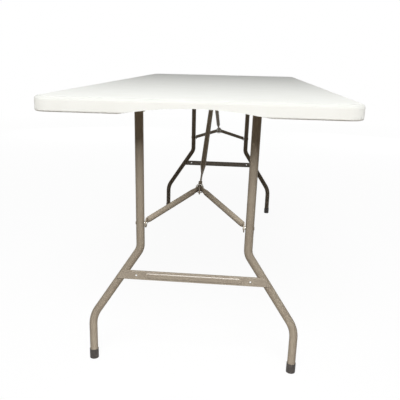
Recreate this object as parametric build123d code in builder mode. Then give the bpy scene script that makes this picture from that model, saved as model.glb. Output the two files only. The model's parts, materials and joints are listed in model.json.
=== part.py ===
from build123d import *
import os
from math import hypot

# Folding garden table: a blow-moulded top on two folding wishbone leg frames.
# Millimetres. The origin is on the floor under the middle of the table, +Z is
# up, Y runs along the table and the front leg frame stands at -Y.

# Whole table
table_length = 1830.0
table_width = 760.0
table_height = 740.0

# Moulded top
corner_radius = 40.0
slab_thickness = 20.0
skirt_depth = 35.5
skirt_width = 22.0
skirt_inner_radius = 20.0
top_edge_radius = 8.0
skirt_edge_radius = 4.0
arch_width = 344.0
arch_edge_depth = 19.0
dimple_mouth_radius = 8.0
dimple_floor_radius = 4.5
dimple_depth = 9.0
dimples_across = 7
dimples_along = 9
dimple_field_from_rail = 66.0
dimple_field_start = 120.0
dimple_field_end_inset = 219.0

# Steel rails under the long sides
rail_inset = 62.0
rail_width = 22.0
rail_height = 29.0
rail_sheet = 1.5
rail_lip = 6.0
rail_seat_depth = 4.0
rail_seat_gap = 0.3
rail_end_inset = 100.0
rail_screws_each = 5
rail_screw_end_margin = 55.0
rail_access_radius = 5.5

# Screws and rivets
screw_radius = 2.0
screw_length = 11.0
screw_head_radius = 4.0
screw_head_height = 2.2
screw_dome_radius = 1.0
screw_gap = 0.1
rivet_radius = 2.0
rivet_head_radius = 3.6
rivet_head_height = 1.6
rivet_gap = 0.1

# Centre crossbar between the rails
centre_bar_width = 50.0
centre_bar_depth = 14.0
centre_bar_sheet = 1.5
centre_tab_drop = 9.0
centre_tab_width = 36.0
centre_rivet_pitch = 22.0
centre_rivet_drop = 5.0

# Legs
leg_tube_dia = 22.2
leg_tube_wall = 1.2
leg_plane_inset = 118.0
leg_top_from_side = 234.0
leg_knee_from_side = 237.4
leg_knee_height = 340.0
leg_knee_radius = 45.0
foot_from_side = 101.5
foot_knee_height = 131.0
foot_knee_radius = 90.0
leg_top_drop = 24.0

# Hinge tubes, one to a leg
hinge_tube_dia = 19.0
hinge_tube_wall = 1.5
hinge_drop = 31.0
hinge_offset = 9.5
hinge_inner_overhang = 13.0
hinge_outer_overhang = 12.0
weld_gap = 0.1
bush_gap = 0.15
bush_wall = 0.85
bush_seat_gap = 0.1
bush_inner_stub = 1.2
bush_flange_thickness = 1.5
bush_flange_radius = 12.3

# Saddles that hold the hinge tubes up to the top
saddle_offset = 26.0
saddle_width = 16.0
saddle_sheet = 1.5
saddle_gap = 0.3
saddle_ear = 14.0
saddle_screw_inset = 7.0

# Foot caps
cap_dia = 25.4
cap_height = 22.0
cap_floor = 4.0
cap_gap = 0.1
cap_edge_radius = 2.5
cap_rim_radius = 0.8

# Pressed crossbar between the legs
bar_height = 24.0
bar_depth = 8.0
bar_sheet = 1.6
bar_level = 266.0
bar_end_margin = 8.0
bar_weld_gap = 0.05
bar_hole_radius = 2.5
bar_hole_from_leg = 38.0
bar_bead_from_leg = 60.5
bar_bead_height = 15.6
bar_bead_rise = 1.6
bar_bead_taper = 52.0
bar_corner_radius = 0.8

# Linkage: strut pivot on the legs, apex joint and brace pivot
strut_pivot_above_knee = 71.0
strut_pivot_gap = 2.6
brace_pivot_from_middle = 53.0
brace_pivot_drop = 37.0
strut_reach = 181.44

# Struts and brace, tubes with flattened ends
brace_tube_dia = 15.9
tongue_thickness = 3.2
tongue_width = 21.6
tongue_nose = 34.0
tongue_length = 52.0
tongue_taper = 55.0
brace_top_flat = 32.0
brace_top_taper = 40.0
brace_top_nose = 10.8
plate_thickness = 3.0
plate_width = 20.0
plate_gap = 0.3
plate_nose = 18.0
plate_tail = 12.0
plate_taper = 26.0
foot_tab_length = 11.0
foot_tab_nose = 12.0
foot_tab_taper = 8.0

# Pivots
apex_rivet_radius = 3.0
apex_head_radius = 5.5
apex_head_height = 2.3
pivot_gap = 0.08
head_dome_radius = 1.2
strut_rivet_radius = 3.0
strut_head_radius = 5.2
strut_head_height = 1.9
strut_sleeve_radius = 4.2
strut_sleeve_gap = 0.3
leg_head_radius = 4.6
leg_head_height = 0.9
leg_head_dome_radius = 0.6

# Bracket that carries the brace's upper end
bracket_sheet = 1.8
bracket_width = 40.0
bracket_length = 45.0
bracket_ear_drop = 25.0
bracket_ear_gap = 0.5
bracket_screw_pitch_across = 25.0
bracket_screw_pitch_along = 24.0

# Wire lock ring round the apex joint
ring_wire_dia = 2.8
ring_inner_width = 17.0
ring_inner_height = 24.4
ring_inner_corner = 6.0
ring_top_reach = 12.2
ring_gap = 0.3

cut_overrun = 5.0

# Heights and places that follow from the sizes above
half_length = table_length / 2
half_width = table_width / 2
slab_bottom = table_height - slab_thickness
skirt_bottom = table_height - skirt_depth
rail_outer = half_width - rail_inset + rail_width
rail_inner = half_width - rail_inset
rail_middle = rail_inner + rail_width / 2
rail_top = slab_bottom + rail_seat_depth
rail_bottom = rail_top - rail_height
rail_length = table_length - 2 * rail_end_inset
dimple_field_end = half_length - dimple_field_end_inset
dimple_pitch_across = 2 * (rail_inner - dimple_field_from_rail) / (dimples_across - 1)
dimple_pitch_along = (dimple_field_end - dimple_field_start) / (dimples_along - 1)
rail_screw_pitch = (rail_length - 2 * rail_screw_end_margin) / (rail_screws_each - 1)
leg_radius = leg_tube_dia / 2
hinge_radius = hinge_tube_dia / 2
bush_radius = hinge_radius + bush_gap + bush_wall
leg_y = -half_length + leg_plane_inset
leg_top_spread = half_width - leg_top_from_side
leg_knee_spread = half_width - leg_knee_from_side
foot_spread = half_width - foot_from_side
hinge_y = leg_y + hinge_offset
hinge_z = table_height - hinge_drop
leg_top = table_height - leg_top_drop
saddle_x = leg_top_spread + saddle_offset
slant_spread = foot_spread - leg_knee_spread
slant_height = leg_knee_height - foot_knee_height
bar_spread = leg_knee_spread + (leg_knee_height - bar_level) * slant_spread / slant_height
bar_face_y = leg_y - leg_radius - bar_sheet
bar_hole_spread = bar_spread - bar_hole_from_leg

# The linkage lies in one line from the strut pivots through the apex to the
# brace pivot, seen from the side of the table
brace_pivot_y = -brace_pivot_from_middle
brace_pivot_z = table_height - brace_pivot_drop
strut_pivot_height = leg_knee_height + strut_pivot_above_knee
line_run = brace_pivot_y - leg_y
line_rise = brace_pivot_z - strut_pivot_height
line_length = hypot(line_run, line_rise)
brace_reach = line_length - strut_reach
apex_y = leg_y + line_run * strut_reach / line_length
apex_z = strut_pivot_height + line_rise * strut_reach / line_length
link_plane = Plane(
    origin=(0, apex_y, apex_z),
    x_dir=(1, 0, 0),
    z_dir=(0, -line_rise / line_length, line_run / line_length),
)
brace_radius = brace_tube_dia / 2
leg_lean_share = (strut_pivot_height - leg_knee_height) / (leg_top - leg_knee_height)
leg_spread_at_pivot = leg_knee_spread + (leg_top_spread - leg_knee_spread) * leg_lean_share
leg_inner_at_pivot = leg_spread_at_pivot - leg_radius
plate_x = tongue_thickness / 2 + plate_gap + plate_thickness / 2
foot_tab_x = leg_inner_at_pivot - strut_pivot_gap - plate_thickness / 2

# The ring rests where the two struts have spread to its width
strut_across = foot_tab_x - plate_x
strut_along = strut_reach - foot_tab_length - plate_tail
strut_run = hypot(strut_across, strut_along)
spread_rate = strut_across / strut_along
swell_rate = (brace_radius - plate_thickness / 2) / plate_taper
outward_share = strut_run / strut_along
ring_room = ring_inner_width / 2 - ring_gap - plate_x - plate_thickness / 2 * outward_share
ring_rest = (
    plate_tail + ring_room / (spread_rate + swell_rate * outward_share ** 2)
    - ring_wire_dia / 2
)


def make_screw(height_of_seat, places):
    """Pan-head screws that point up, their heads seated under a sheet."""
    with BuildPart() as screws:
        with BuildSketch(Plane.XY.offset(height_of_seat - screw_head_height)):
            with Locations(*places):
                Circle(screw_head_radius)
        extrude(amount=screw_head_height)
        fillet(screws.faces().sort_by(Axis.Z)[0].edges() if len(places) == 1 else
               screws.edges().group_by(Axis.Z)[0], radius=screw_dome_radius)
        with BuildSketch(Plane.XY.offset(height_of_seat)):
            with Locations(*places):
                Circle(screw_radius)
        extrude(amount=screw_length)
    return screws.part


def make_top(screw_places):
    """Moulded top: slab, turned-down skirt, arched ends and tack-off dimples."""
    with BuildPart() as top:
        with BuildSketch(Plane.XY.offset(skirt_bottom)):
            RectangleRounded(table_width, table_length, corner_radius)
        extrude(amount=skirt_depth)
        fillet(top.faces().sort_by(Axis.Z)[-1].edges(), radius=top_edge_radius)
        fillet(top.faces().sort_by(Axis.Z)[0].edges(), radius=skirt_edge_radius)
        with BuildSketch(Plane.XY.offset(skirt_bottom - cut_overrun)):
            RectangleRounded(
                table_width - 2 * skirt_width,
                table_length - 2 * skirt_width,
                skirt_inner_radius,
            )
        extrude(amount=cut_overrun + skirt_depth - slab_thickness, mode=Mode.SUBTRACT)
        # The skirt's lower edge rises in an arch in the middle of each end
        for end_offset in (half_length - skirt_width, -half_length - cut_overrun):
            with BuildSketch(Plane.XZ.offset(end_offset)):
                with BuildLine():
                    ThreePointArc(
                        (-arch_width / 2, skirt_bottom),
                        (0, table_height - arch_edge_depth),
                        (arch_width / 2, skirt_bottom),
                    )
                    Polyline(
                        (arch_width / 2, skirt_bottom),
                        (arch_width / 2, skirt_bottom - cut_overrun),
                        (-arch_width / 2, skirt_bottom - cut_overrun),
                        (-arch_width / 2, skirt_bottom),
                    )
                make_face()
            extrude(amount=skirt_width + cut_overrun, mode=Mode.SUBTRACT)
        # Seats for the two rails
        with BuildSketch(Plane.XY.offset(slab_bottom - cut_overrun)):
            with Locations((-rail_middle, 0), (rail_middle, 0)):
                Rectangle(rail_width + 2 * rail_seat_gap, rail_length + 2 * rail_seat_gap)
        extrude(amount=cut_overrun + rail_seat_depth, mode=Mode.SUBTRACT)
        # Tack-offs, where the lower skin is pinched up to the upper one
        field_middle = (dimple_field_start + dimple_field_end) / 2
        with Locations(
            (0, -field_middle, slab_bottom + dimple_depth / 2),
            (0, field_middle, slab_bottom + dimple_depth / 2),
        ):
            with GridLocations(
                dimple_pitch_across, dimple_pitch_along, dimples_across, dimples_along
            ):
                Cone(
                    dimple_mouth_radius, dimple_floor_radius, dimple_depth,
                    mode=Mode.SUBTRACT,
                )
        # Pilot holes for the screws
        for seat, places in screw_places:
            with BuildSketch(Plane.XY.offset(seat)):
                with Locations(*places):
                    Circle(screw_radius + screw_gap)
            extrude(amount=screw_length + screw_gap, mode=Mode.SUBTRACT)
    return top.part


def make_rail(side):
    """Steel channel that opens outwards, with the two hinge bush holes."""
    with BuildPart() as rail:
        with BuildSketch(Plane.XZ.offset(-rail_length / 2)):
            with Locations((side * rail_middle, (rail_top + rail_bottom) / 2)):
                Rectangle(rail_width, rail_height)
            with Locations((side * rail_middle, (rail_top + rail_bottom) / 2)):
                Rectangle(
                    rail_width - 2 * rail_sheet, rail_height - 2 * rail_sheet,
                    mode=Mode.SUBTRACT,
                )
            with Locations((side * rail_outer, (rail_top + rail_bottom) / 2)):
                Rectangle(
                    2 * rail_sheet + cut_overrun, rail_height - 2 * rail_lip,
                    mode=Mode.SUBTRACT,
                )
        extrude(amount=rail_length)
        with Locations(
            (side * rail_inner, hinge_y, hinge_z), (side * rail_inner, -hinge_y, hinge_z)
        ):
            Cylinder(
                bush_radius + bush_seat_gap, 2 * rail_sheet + cut_overrun,
                rotation=(0, 90, 0), mode=Mode.SUBTRACT,
            )
        # Screw holes in the upper flange, and the driver's way in below them
        with BuildSketch(Plane.XY.offset(rail_top - rail_sheet - screw_gap)):
            with Locations(*rail_screw_places(side)):
                Circle(screw_radius + screw_gap)
        extrude(amount=rail_sheet + 2 * screw_gap, mode=Mode.SUBTRACT)
        with BuildSketch(Plane.XY.offset(rail_bottom - screw_gap)):
            with Locations(*rail_screw_places(side)):
                Circle(rail_access_radius)
        extrude(amount=rail_sheet + 2 * screw_gap, mode=Mode.SUBTRACT)
        with Locations(*centre_rivet_places(side)):
            Cylinder(
                rivet_radius + rivet_gap, 2 * rail_sheet + cut_overrun,
                rotation=(0, 90, 0), mode=Mode.SUBTRACT,
            )
    return rail.part


def rail_screw_places(side):
    first = -rail_length / 2 + rail_screw_end_margin
    return [
        (side * rail_middle, first + rail_screw_pitch * place)
        for place in range(rail_screws_each)
    ]


def centre_rivet_places(side):
    level = slab_bottom - centre_bar_depth - centre_rivet_drop
    return [
        (side * rail_inner, -centre_rivet_pitch / 2, level),
        (side * rail_inner, centre_rivet_pitch / 2, level),
    ]


def make_centre_crossbar():
    """Pressed channel under the middle of the top, tabbed on to the rails."""
    bar_middle = slab_bottom - centre_bar_depth / 2
    with BuildPart() as centre_bar:
        with BuildSketch(Plane.YZ.offset(-rail_inner)):
            with Locations((0, bar_middle)):
                Rectangle(centre_bar_width, centre_bar_depth)
            with Locations((0, bar_middle + centre_bar_sheet)):
                Rectangle(
                    centre_bar_width - 2 * centre_bar_sheet, centre_bar_depth,
                    mode=Mode.SUBTRACT,
                )
        extrude(amount=2 * rail_inner)
        for side in (-1, 1):
            with Locations(
                (
                    side * (rail_inner - centre_bar_sheet / 2),
                    0,
                    slab_bottom - centre_bar_depth - centre_tab_drop / 2,
                )
            ):
                Box(centre_bar_sheet, centre_tab_width, centre_tab_drop)
            with Locations(*centre_rivet_places(side)):
                Cylinder(
                    rivet_radius + rivet_gap, 2 * centre_bar_sheet + cut_overrun,
                    rotation=(0, 90, 0), mode=Mode.SUBTRACT,
                )
    return centre_bar.part


def make_centre_rivets():
    """Rivets through the crossbar's end tabs and the rail webs."""
    grip = centre_bar_sheet + rail_sheet
    with BuildPart() as rivets:
        for side in (-1, 1):
            for x, y, z in centre_rivet_places(side):
                inner_face = x - side * centre_bar_sheet
                middle = inner_face + side * grip / 2
                with Locations((middle, y, z)):
                    Cylinder(rivet_radius, grip, rotation=(0, 90, 0))
                for face, out in ((inner_face, -side), (inner_face + side * grip, side)):
                    with Locations((face + out * rivet_head_height / 2, y, z)):
                        Cylinder(rivet_head_radius, rivet_head_height, rotation=(0, 90, 0))
    return rivets.part


def bracket_screw_places():
    middle = -centre_bar_width / 2 - bracket_length / 2
    return [
        (across * bracket_screw_pitch_across / 2, middle + along * bracket_screw_pitch_along / 2)
        for across in (-1, 1)
        for along in (-1, 1)
    ]


def make_brace_bracket():
    """Bracket with two ears that hold the brace's upper pin."""
    ear_x = tongue_thickness / 2 + bracket_ear_gap + bracket_sheet / 2
    base_middle = -centre_bar_width / 2 - bracket_length / 2
    with BuildPart() as bracket:
        with Locations((0, base_middle, slab_bottom - bracket_sheet / 2)):
            Box(bracket_width, bracket_length, bracket_sheet)
        for side in (-1, 1):
            with BuildSketch(Plane.YZ.offset(side * ear_x - bracket_sheet / 2)):
                with Locations((base_middle, slab_bottom - bracket_ear_drop / 2)):
                    RectangleRounded(bracket_length, bracket_ear_drop, bracket_sheet)
            extrude(amount=bracket_sheet)
        with BuildSketch(Plane.XY.offset(slab_bottom - bracket_sheet - screw_gap)):
            with Locations(*bracket_screw_places()):
                Circle(screw_radius + screw_gap)
        extrude(amount=bracket_sheet + 2 * screw_gap, mode=Mode.SUBTRACT)
        with Locations((0, brace_pivot_y, brace_pivot_z)):
            Cylinder(
                apex_rivet_radius + pivot_gap, bracket_width,
                rotation=(0, 90, 0), mode=Mode.SUBTRACT,
            )
    return bracket.part


def make_headed_pin(place, grip, radius, head_radius, head_height):
    """Rivet or pin across the table, a low domed head at each end."""
    x, y, z = place
    with BuildPart() as pin:
        with BuildSketch(Plane.YZ.offset(x - grip / 2)):
            with Locations((y, z)):
                Circle(radius)
        extrude(amount=grip)
        for side in (-1, 1):
            face = x + side * grip / 2
            with BuildSketch(Plane.YZ.offset(face)):
                with Locations((y, z)):
                    Circle(head_radius)
            extrude(amount=side * head_height)
        for end_face in (pin.faces().sort_by(Axis.X)[0], pin.faces().sort_by(Axis.X)[-1]):
            fillet(end_face.edges(), radius=head_dome_radius)
    return pin.part


def make_saddle(side):
    """Strap that holds a hinge tube up to the top beside the leg."""
    inner = hinge_radius + saddle_gap
    outer = inner + saddle_sheet
    with BuildPart() as saddle:
        with BuildSketch(Plane.YZ.offset(side * saddle_x - saddle_width / 2)):
            with Locations((hinge_y, hinge_z)):
                Circle(outer)
            with Locations((hinge_y, (hinge_z + slab_bottom) / 2)):
                Rectangle(2 * outer, slab_bottom - hinge_z)
            with Locations((hinge_y, slab_bottom - saddle_sheet / 2)):
                Rectangle(2 * (outer + saddle_ear), saddle_sheet)
            with Locations((hinge_y, hinge_z)):
                Circle(inner, mode=Mode.SUBTRACT)
            with Locations((hinge_y, hinge_z + outer / 2)):
                Rectangle(2 * inner, outer, mode=Mode.SUBTRACT)
        extrude(amount=saddle_width)
        with BuildSketch(Plane.XY.offset(slab_bottom - saddle_sheet - screw_gap)):
            with Locations(*saddle_screw_places(side)):
                Circle(screw_radius + screw_gap)
        extrude(amount=saddle_sheet + 2 * screw_gap, mode=Mode.SUBTRACT)
    return saddle.part


def saddle_screw_places(side):
    reach = hinge_radius + saddle_gap + saddle_sheet + saddle_ear - saddle_screw_inset
    return [(side * saddle_x, hinge_y - reach), (side * saddle_x, hinge_y + reach)]


def make_hinge_bush(side):
    """Plastic bush in the rail's web, its flange inside the channel."""
    face = side * (rail_inner + rail_sheet)
    with BuildPart() as bush:
        with BuildSketch(Plane.YZ.offset(face + side * bush_flange_thickness)):
            with Locations((hinge_y, hinge_z)):
                Circle(bush_radius)
        extrude(amount=-side * (bush_flange_thickness + rail_sheet + bush_inner_stub))
        with BuildSketch(Plane.YZ.offset(face)):
            with Locations((hinge_y, hinge_z)):
                Circle(bush_flange_radius)
        extrude(amount=side * bush_flange_thickness)
        with Locations((face, hinge_y, hinge_z)):
            Cylinder(
                hinge_radius + bush_gap, rail_width, rotation=(0, 90, 0), mode=Mode.SUBTRACT
            )
    return bush.part


def make_leg_tube(side):
    """Wishbone leg tube, bent at the knee and above the foot."""
    with BuildPart() as leg_tube:
        with BuildLine(Plane.XZ.offset(-leg_y)) as path:
            FilletPolyline(
                (side * foot_spread, cap_floor),
                (side * foot_spread, foot_knee_height),
                (side * leg_knee_spread, leg_knee_height),
                (side * leg_top_spread, leg_top),
                radius=[foot_knee_radius, leg_knee_radius],
            )
        with BuildSketch(Plane(origin=path.line @ 0, z_dir=path.line % 0)):
            Circle(leg_radius)
            Circle(leg_radius - leg_tube_wall, mode=Mode.SUBTRACT)
        sweep(path=path.line)
        # The top end is coped round the hinge tube
        with Locations((side * leg_top_spread, hinge_y, hinge_z)):
            Cylinder(
                hinge_radius + weld_gap, 2 * leg_tube_dia,
                rotation=(0, 90, 0), mode=Mode.SUBTRACT,
            )
        # Holes for the strut rivet
        with Locations((side * leg_spread_at_pivot, leg_y, strut_pivot_height)):
            Cylinder(
                strut_rivet_radius + rivet_gap, 2 * leg_tube_dia,
                rotation=(0, 90, 0), mode=Mode.SUBTRACT,
            )
    return leg_tube.part


def make_hinge_tube(side):
    """Short tube across the leg's top, from the leg out through the rail."""
    inner_end = leg_top_spread - hinge_inner_overhang
    outer_end = rail_inner + rail_sheet + hinge_outer_overhang
    with BuildPart() as hinge_tube:
        with BuildSketch(Plane.YZ.offset(side * inner_end)):
            with Locations((hinge_y, hinge_z)):
                Circle(hinge_radius)
                Circle(hinge_radius - hinge_tube_wall, mode=Mode.SUBTRACT)
        extrude(amount=side * (outer_end - inner_end))
    return hinge_tube.part


def make_foot_cap(side):
    """Plastic cap pushed over the end of a leg."""
    with BuildPart() as cap:
        with BuildSketch():
            with Locations((side * foot_spread, leg_y)):
                Circle(cap_dia / 2)
        extrude(amount=cap_height)
        fillet(cap.faces().sort_by(Axis.Z)[0].edges(), radius=cap_edge_radius)
        with BuildSketch(Plane.XY.offset(cap_floor)):
            with Locations((side * foot_spread, leg_y)):
                Circle(leg_radius + cap_gap)
        extrude(amount=cap_height, mode=Mode.SUBTRACT)
        fillet(cap.edges().sort_by(Axis.Z)[-1], radius=cap_rim_radius)
    return cap.part


def make_leg_crossbar():
    """Pressed crossbar with a raised bead, its ends fitted to the leg tubes."""
    outer_end = bar_spread + bar_end_margin
    end_shift = bar_height / 2 * slant_spread / slant_height
    bar_top = bar_level + bar_height / 2
    bar_bottom = bar_level - bar_height / 2
    with BuildPart() as crossbar:
        with BuildSketch(Plane.YZ.offset(-outer_end - end_shift)):
            with Locations((bar_face_y + bar_depth / 2, bar_level)):
                RectangleRounded(bar_depth, bar_height, bar_corner_radius)
            with Locations((bar_face_y + bar_depth / 2 + bar_sheet, bar_level)):
                Rectangle(bar_depth, bar_height - 2 * bar_sheet, mode=Mode.SUBTRACT)
        extrude(amount=2 * (outer_end + end_shift))
        # Ends cut on the slant of the legs
        with BuildSketch(Plane.XZ.offset(-leg_y)):
            with BuildLine():
                Polyline(
                    (-outer_end - end_shift, bar_bottom),
                    (-outer_end + end_shift, bar_top),
                    (outer_end - end_shift, bar_top),
                    (outer_end + end_shift, bar_bottom),
                    close=True,
                )
            make_face()
        extrude(amount=leg_tube_dia, both=True, mode=Mode.INTERSECT)
        # Raised bead along the web
        with BuildSketch(Plane.XZ.offset(-bar_face_y)):
            with Locations((0, bar_level)):
                SlotOverall(2 * (bar_spread - bar_bead_from_leg), bar_bead_height)
        extrude(amount=bar_bead_rise, taper=bar_bead_taper)
        # Flanges coped to the two slanted tubes
        for side in (-1, 1):
            with Locations(
                Plane(
                    origin=(side * bar_spread, leg_y, bar_level),
                    z_dir=(side * slant_spread, 0, -slant_height),
                )
            ):
                Cylinder(leg_radius + bar_weld_gap, 2 * leg_tube_dia, mode=Mode.SUBTRACT)
        with BuildSketch(Plane.XZ.offset(-leg_y)):
            with Locations((-bar_hole_spread, bar_level), (bar_hole_spread, bar_level)):
                Circle(bar_hole_radius)
        extrude(amount=leg_tube_dia, mode=Mode.SUBTRACT)
    return crossbar.part


def make_leg_rivets():
    """Strut rivets through the leg tubes, headed outside, flush inside."""
    length = leg_tube_dia + rivet_gap
    with BuildPart() as rivets:
        for side in (-1, 1):
            outer_face = side * (leg_spread_at_pivot + leg_radius + rivet_gap)
            with BuildSketch(Plane.YZ.offset(outer_face)):
                with Locations((leg_y, strut_pivot_height)):
                    Circle(strut_rivet_radius)
            extrude(amount=-side * length)
            with BuildSketch(Plane.YZ.offset(outer_face)):
                with Locations((leg_y, strut_pivot_height)):
                    Circle(leg_head_radius)
            extrude(amount=side * leg_head_height)
        for end_face in (rivets.faces().sort_by(Axis.X)[0], rivets.faces().sort_by(Axis.X)[-1]):
            fillet(end_face.edges(), radius=leg_head_dome_radius)
    return rivets.part


def link_point(across, along, up=0):
    return link_plane.from_local_coords((across, along, up))


def link_section(across, along, direction_across, direction_along):
    """Plane across a strut or the brace, its x axis square to the direction."""
    length = hypot(direction_across, direction_along)
    heading = link_plane.from_local_coords((direction_across, direction_along, 0))
    return Plane(
        origin=link_point(across, along),
        x_dir=(link_point(direction_along / length, -direction_across / length)
               - link_plane.origin),
        z_dir=heading - link_plane.origin,
    )


def flat_plate(across, start, end, width, thickness, round_start, round_end):
    """Flattened tube end as a plate, round-nosed where it is free."""
    low = start + width / 2 if round_start else start
    high = end - width / 2 if round_end else end
    side_plane = Plane(
        origin=link_point(across - thickness / 2, 0),
        x_dir=link_plane.y_dir,
        z_dir=link_plane.x_dir,
    )
    with BuildSketch(side_plane) as outline:
        with Locations(((low + high) / 2, 0)):
            Rectangle(high - low, width)
        for is_round, place in ((round_start, low), (round_end, high)):
            if is_round:
                with Locations((place, 0)):
                    Circle(width / 2)
    extrude(outline.sketch, amount=thickness)


def cross_hole(across, along, radius, depth):
    with Locations(
        Plane(origin=link_point(across, along), z_dir=link_plane.x_dir)
    ):
        Cylinder(radius, depth, mode=Mode.SUBTRACT)


def make_strut(side):
    """Strut from the apex to a leg, both ends flattened and bent in line."""
    plate_end = -plate_tail
    tab_start = -strut_reach + foot_tab_length
    across_run = side * (foot_tab_x - plate_x)
    along_run = tab_start - plate_end
    run = hypot(across_run, along_run)
    unit_across = across_run / run
    unit_along = along_run / run
    first = (side * plate_x + unit_across * plate_taper, plate_end + unit_along * plate_taper)
    last = (
        side * foot_tab_x - unit_across * foot_tab_taper,
        tab_start - unit_along * foot_tab_taper,
    )
    with BuildPart() as strut:
        flat_plate(side * plate_x, plate_end, plate_nose, plate_width, plate_thickness,
                   False, True)
        flat_plate(side * foot_tab_x, -strut_reach - foot_tab_nose, tab_start,
                   plate_width, plate_thickness, True, False)
        with BuildSketch(link_section(side * plate_x, plate_end, 0, -1)):
            SlotOverall(plate_width, plate_thickness, rotation=90)
        with BuildSketch(link_section(*first, unit_across, unit_along)):
            Circle(brace_radius)
        loft()
        with BuildSketch(link_section(*first, unit_across, unit_along)):
            Circle(brace_radius)
        extrude(amount=run - plate_taper - foot_tab_taper)
        with BuildSketch(link_section(*last, unit_across, unit_along)):
            Circle(brace_radius)
        with BuildSketch(link_section(side * foot_tab_x, tab_start, 0, -1)):
            SlotOverall(plate_width, plate_thickness, rotation=90)
        loft()
        cross_hole(side * plate_x, 0, apex_rivet_radius + rivet_gap, plate_width)
        cross_hole(side * foot_tab_x, -strut_reach, rivet_radius + rivet_gap, plate_width)
    return strut.part


def make_strut_rivets():
    """Rivet heads on the struts' lower tabs, with sleeves that reach to the legs."""
    with BuildPart() as rivets:
        for side in (-1, 1):
            inner_face = side * (foot_tab_x - plate_thickness / 2)
            with BuildSketch(Plane.YZ.offset(inner_face)):
                with Locations((leg_y, strut_pivot_height)):
                    Circle(rivet_radius)
            extrude(amount=side * plate_thickness)
            with BuildSketch(Plane.YZ.offset(inner_face + side * plate_thickness)):
                with Locations((leg_y, strut_pivot_height)):
                    Circle(strut_sleeve_radius)
            extrude(amount=side * (strut_pivot_gap - strut_sleeve_gap))
            with BuildSketch(Plane.YZ.offset(inner_face)):
                with Locations((leg_y, strut_pivot_height)):
                    Circle(strut_head_radius)
            extrude(amount=-side * strut_head_height)
            head_face = rivets.faces().filter_by(Axis.X).sort_by(
                lambda face: abs(face.center().X - inner_face + side * strut_head_height)
            )[0]
            fillet(head_face.edges(), radius=head_dome_radius)
    return rivets.part


def make_brace():
    """Diagonal brace tube with a long flat tongue at the apex."""
    tongue_end = tongue_length
    round_start = tongue_end + tongue_taper
    round_end = brace_reach - brace_top_flat - brace_top_taper
    top_start = brace_reach - brace_top_flat
    with BuildPart() as brace:
        flat_plate(0, -tongue_nose, tongue_end, tongue_width, tongue_thickness, True, False)
        with BuildSketch(link_section(0, tongue_end, 0, 1)):
            SlotOverall(tongue_width, tongue_thickness, rotation=90)
        with BuildSketch(link_section(0, round_start, 0, 1)):
            Circle(brace_radius)
        loft()
        with BuildSketch(link_section(0, round_start, 0, 1)):
            Circle(brace_radius)
        extrude(amount=round_end - round_start)
        with BuildSketch(link_section(0, round_end, 0, 1)):
            Circle(brace_radius)
        with BuildSketch(link_section(0, top_start, 0, 1)):
            SlotOverall(tongue_width, tongue_thickness, rotation=90)
        loft()
        flat_plate(0, top_start, brace_reach + brace_top_nose, tongue_width,
                   tongue_thickness, False, True)
        cross_hole(0, 0, apex_rivet_radius + pivot_gap, plate_width)
        cross_hole(0, brace_reach, apex_rivet_radius + pivot_gap, plate_width)
    return brace.part


def make_lock_ring():
    """Bent wire ring that drops round the apex joint to lock it."""
    wire_radius = ring_wire_dia / 2
    reach = ring_inner_width / 2 + wire_radius
    height = ring_inner_height + ring_wire_dia
    middle = ring_top_reach - ring_inner_height / 2
    centred = Plane(
        origin=link_point(0, -ring_rest, middle),
        x_dir=link_plane.x_dir,
        z_dir=link_plane.y_dir * -1,
    )
    with BuildPart() as ring:
        with BuildLine(centred) as half:
            FilletPolyline(
                (0, height / 2), (reach, height / 2), (reach, -height / 2), (0, -height / 2),
                radius=ring_inner_corner + wire_radius,
            )
        with BuildSketch(Plane(origin=half.line @ 0, z_dir=half.line % 0)):
            Circle(wire_radius)
        sweep(path=half.line)
        mirror(about=Plane.YZ)
    return ring.part


def write_piece(part, name):
    part.label = name
    export_step(part, f"parts/{name}.step")


os.makedirs("parts", exist_ok=True)

rail_seat = rail_top - rail_sheet
saddle_seat = slab_bottom - saddle_sheet
bracket_seat = slab_bottom - bracket_sheet
front_saddle_screws = saddle_screw_places(-1) + saddle_screw_places(1)
rear_saddle_screws = [(-x, -y) for x, y in front_saddle_screws]
rear_bracket_screws = [(-x, -y) for x, y in bracket_screw_places()]
top_screws = (
    (rail_seat, rail_screw_places(-1) + rail_screw_places(1)),
    (saddle_seat, front_saddle_screws + rear_saddle_screws),
    (bracket_seat, bracket_screw_places() + rear_bracket_screws),
)

# Pieces that belong to the top
write_piece(make_top(top_screws), "tabletop")
for side, side_name in ((-1, "left"), (1, "right")):
    write_piece(make_rail(side), f"frame_rail_{side_name}")
    write_piece(make_screw(rail_seat, rail_screw_places(side)), f"rail_screws_{side_name}")
write_piece(make_centre_crossbar(), "centre_crossbar")
write_piece(make_centre_rivets(), "centre_crossbar_rivets")

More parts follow.
